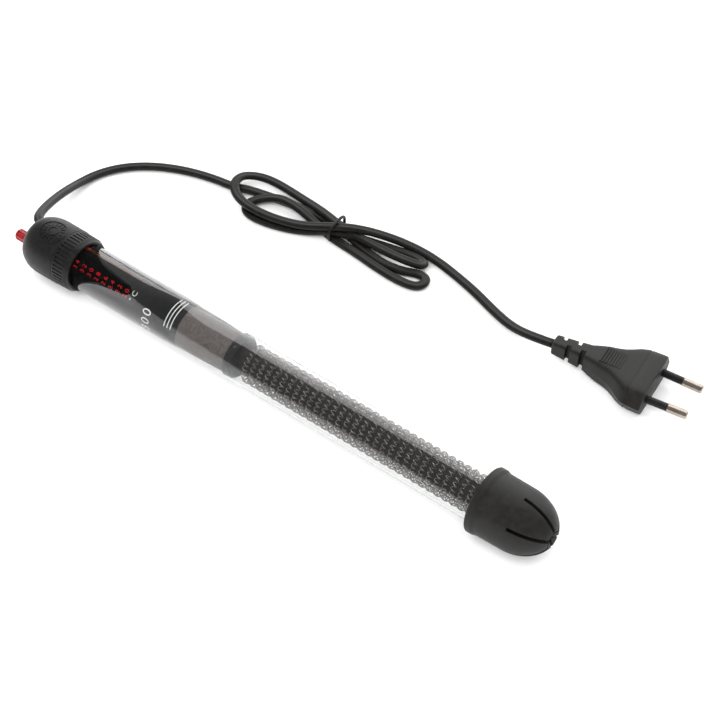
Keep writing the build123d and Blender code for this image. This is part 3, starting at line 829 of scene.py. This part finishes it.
class HEATER_OT_plug(bpy.types.Operator):
    """Mould the flat plug with its slotted strain relief and thumb ribs"""
    bl_idname = "heater.plug"
    bl_label = "Plug"

    def execute(self, context):
        rings = []
        for along, half_width, half_height, power, flat in PLUG_SECTIONS:
            ring = []
            for step in range(PLUG_SIDES):
                turn = 2 * pi * step / PLUG_SIDES
                side = abs(cos(turn)) + (1 - flat) * abs(sin(turn))
                reach = (side ** power + abs(sin(turn)) ** power) ** (-1 / power)
                across = half_width * reach * cos(turn) * MM
                up = half_height * reach * sin(turn) * MM
                ring.append((along * MM, across, up))
            rings.append(ring)
        body = bpy.data.objects.new("blank", loft("plug_moulding", rings))
        bpy.context.scene.collection.objects.link(body)
        cutter = bpy.data.objects.new("slots", self.slots())
        bpy.context.scene.collection.objects.link(cutter)
        cut = body.modifiers.new("slots", "BOOLEAN")
        cut.operation = "DIFFERENCE"
        cut.solver = "EXACT"
        cut.object = cutter
        mesh = evaluated_mesh(body)
        bpy.data.objects.remove(cutter)
        mesh.transform(plug_matrix())
        piece = finish_piece("plug_moulding", mesh, "rubber", "root", ["plug_body"])
        mesh.set_sharp_from_angle(angle=radians(PLUG_SHARP_ANGLE))
        ribs = self.ribs()
        ribs.transform(plug_matrix())
        finish_piece("plug_ribs", ribs, "rubber", "root", [], smooth=False)
        return {"FINISHED"}

    def slots(self):
        """Boxes that cut the strain relief from each side in turn."""
        boxes = []
        for start, end, side in RELIEF_SLOTS:
            work = bmesh.new()
            bmesh.ops.create_cube(work, size=1.0)
            place = Vector(((start + end) / 2, side * SLOT_OFFSET, 0)) * MM
            size = Vector((end - start, SLOT_WIDTH, SLOT_HEIGHT)) * MM
            bmesh.ops.scale(work, vec=size, verts=work.verts)
            bmesh.ops.translate(work, vec=place, verts=work.verts)
            mesh = bpy.data.meshes.new("slot")
            work.to_mesh(mesh)
            work.free()
            boxes.append(mesh)
        return join_meshes("slots", boxes)

    def ribs(self):
        """Row of cross ribs on the thumb pad."""
        tree = Tree("thumb_ribs", [("Count", "NodeSocketInt"), ("Pitch", "NodeSocketFloat"),
                                   ("Size", "NodeSocketVector"), ("Start", "NodeSocketVector")])
        row = tree.node("GeometryNodeMeshLine")
        tree.link(tree.named("Count"), row.inputs["Count"])
        tree.link(tree.named("Start"), row.inputs["Start Location"])
        step = tree.node("ShaderNodeCombineXYZ")
        tree.link(tree.named("Pitch"), step.inputs["X"])
        tree.link(step.outputs["Vector"], row.inputs["Offset"])
        rib = tree.node("GeometryNodeMeshCube")
        tree.link(tree.named("Size"), rib.inputs["Size"])
        spread = tree.node("GeometryNodeInstanceOnPoints")
        tree.link(row.outputs["Mesh"], spread.inputs["Points"])
        tree.link(rib.outputs["Mesh"], spread.inputs["Instance"])
        tree.finish(spread.outputs["Instances"], MATERIALS["rubber"])
        return tree.mesh({"Count": RIB_COUNT, "Pitch": RIB_PITCH, "Size": RIB_SIZE, "Start": RIB_START})


SOFTBOX_PLACE = (-0.30, 0.63, 0.53)
SOFTBOX_TARGET = (-0.30, 0, 0)
SOFTBOX_SIZE = (1.8, 1.28)
SOFTBOX_POWER = 14
FILL_PLACE = (0.05, -0.75, 0.95)
FILL_TARGET = (0, 0, 0)
FILL_SIZE = (1.6, 1.2)
FILL_POWER = 24
WORLD_STRENGTH = 0.35
FLOOR_REACH = 6.0
FLOOR_COLOUR = (0.93, 0.93, 0.93, 1)
SENSOR_WIDTH = 36
NEAREST_SEEN = 0.01


class HEATER_OT_stage(bpy.types.Operator):
    """Set the floor, the lights and the camera"""
    bl_idname = "heater.stage"
    bl_label = "Stage"

    def execute(self, context):
        self.floor()
        self.world()
        self.lamp("softbox", SOFTBOX_PLACE, SOFTBOX_TARGET, SOFTBOX_SIZE, SOFTBOX_POWER)
        self.lamp("glow", SOFTBOX_PLACE, SOFTBOX_TARGET, SOFTBOX_SIZE, SOFTBOX_POWER, diffuse=False)
        self.lamp("overhead_fill", FILL_PLACE, FILL_TARGET, FILL_SIZE, FILL_POWER, glossy=False)
        context.scene.view_settings.view_transform = "Standard"
        self.camera(context.scene.heater.stage)
        return {"FINISHED"}

    def floor(self):
        """Plain pale floor at the height of z = 0."""
        material, _, shader = new_material("pale_floor")
        shader.inputs["Base Color"].default_value = FLOOR_COLOUR
        shader.inputs["Roughness"].default_value = 0.9
        shader.inputs["Specular IOR Level"].default_value = 0.1
        reach = FLOOR_REACH
        corners = [(-reach, -reach, 0), (reach, -reach, 0), (reach, reach, 0), (-reach, reach, 0)]
        mesh = bpy.data.meshes.new("floor")
        mesh.from_pydata(corners, [], [(0, 1, 2, 3)])
        mesh.materials.append(material)
        floor = bpy.data.objects.new("floor", mesh)
        bpy.context.scene.collection.objects.link(floor)

    def world(self):
        """Even white light from all round."""
        world = bpy.data.worlds.new("soft_white")
        world.use_nodes = True
        world.node_tree.nodes["Background"].inputs["Color"].default_value = (1, 1, 1, 1)
        world.node_tree.nodes["Background"].inputs["Strength"].default_value = WORLD_STRENGTH
        bpy.context.scene.world = world

    def lamp(self, name, place, target, size, power, diffuse=True, glossy=True):
        """Rectangular lamp that faces a target; one that isn't glossy isn't seen through glass either."""
        light = bpy.data.lights.new(name, "AREA")
        light.shape = "RECTANGLE"
        light.size, light.size_y = size
        light.energy = power
        lamp = bpy.data.objects.new(name, light)
        lamp.location = place
        lamp.visible_diffuse = diffuse
        lamp.visible_glossy = glossy
        lamp.visible_transmission = glossy
        lamp.rotation_euler = (Vector(target) - Vector(place)).to_track_quat("-Z", "Y").to_euler()
        bpy.context.scene.collection.objects.link(lamp)

    def camera(self, settings):
        """Camera set by its heading, downward tilt and roll."""
        heading, tilt, roll = [radians(value) for value in settings.camera_turn]
        forward = Vector((sin(heading) * cos(tilt), cos(heading) * cos(tilt), -sin(tilt)))
        level = Vector((cos(heading), -sin(heading), 0))
        upward = level.cross(forward)
        right = level * cos(roll) + upward * sin(roll)
        up = upward * cos(roll) - level * sin(roll)
        data = bpy.data.cameras.new("camera")
        data.sensor_width = SENSOR_WIDTH
        data.lens = settings.lens
        data.clip_start = NEAREST_SEEN
        camera = bpy.data.objects.new("camera", data)
        camera.matrix_world = Matrix.Translation(settings.camera_place) @ Matrix((
            (right.x, up.x, -forward.x, 0), (right.y, up.y, -forward.y, 0),
            (right.z, up.z, -forward.z, 0), (0, 0, 0, 1)))
        bpy.context.scene.collection.objects.link(camera)
        bpy.context.scene.camera = camera


class HEATER_PT_panel(bpy.types.Panel):
    """List the heater's pieces and their settings"""
    bl_label = "Aquarium Heater"
    bl_idname = "HEATER_PT_panel"
    bl_space_type = "VIEW_3D"
    bl_region_type = "UI"
    bl_category = "Heater"

    def draw(self, context):
        settings = context.scene.heater
        for group in (settings.cord, settings.coil, settings.prints, settings.stage):
            box = self.layout.box()
            for key in group.__annotations__:
                box.prop(group, key)
        for operator in OPERATORS:
            self.layout.operator(operator.bl_idname)


OPERATORS = [HEATER_OT_finishes, HEATER_OT_stage, HEATER_OT_plug, HEATER_OT_cord, HEATER_OT_head,
             HEATER_OT_glass, HEATER_OT_scale, HEATER_OT_coil]
CLASSES = [CordSizes, CoilSizes, PrintSizes, StageSizes, HeaterSettings, *OPERATORS, HEATER_PT_panel]


def register():
    for cls in CLASSES:
        bpy.utils.register_class(cls)
    bpy.types.Scene.heater = PointerProperty(type=HeaterSettings)


def unregister():
    del bpy.types.Scene.heater
    for cls in reversed(CLASSES):
        bpy.utils.unregister_class(cls)


def main():
    register()
    bpy.ops.heater.finishes()
    bpy.ops.heater.stage()
    bpy.ops.heater.plug()
    bpy.ops.heater.cord()
    bpy.ops.heater.head()
    bpy.ops.heater.glass()
    bpy.ops.heater.scale()
    bpy.ops.heater.coil()


if __name__ == "__main__":
    main()
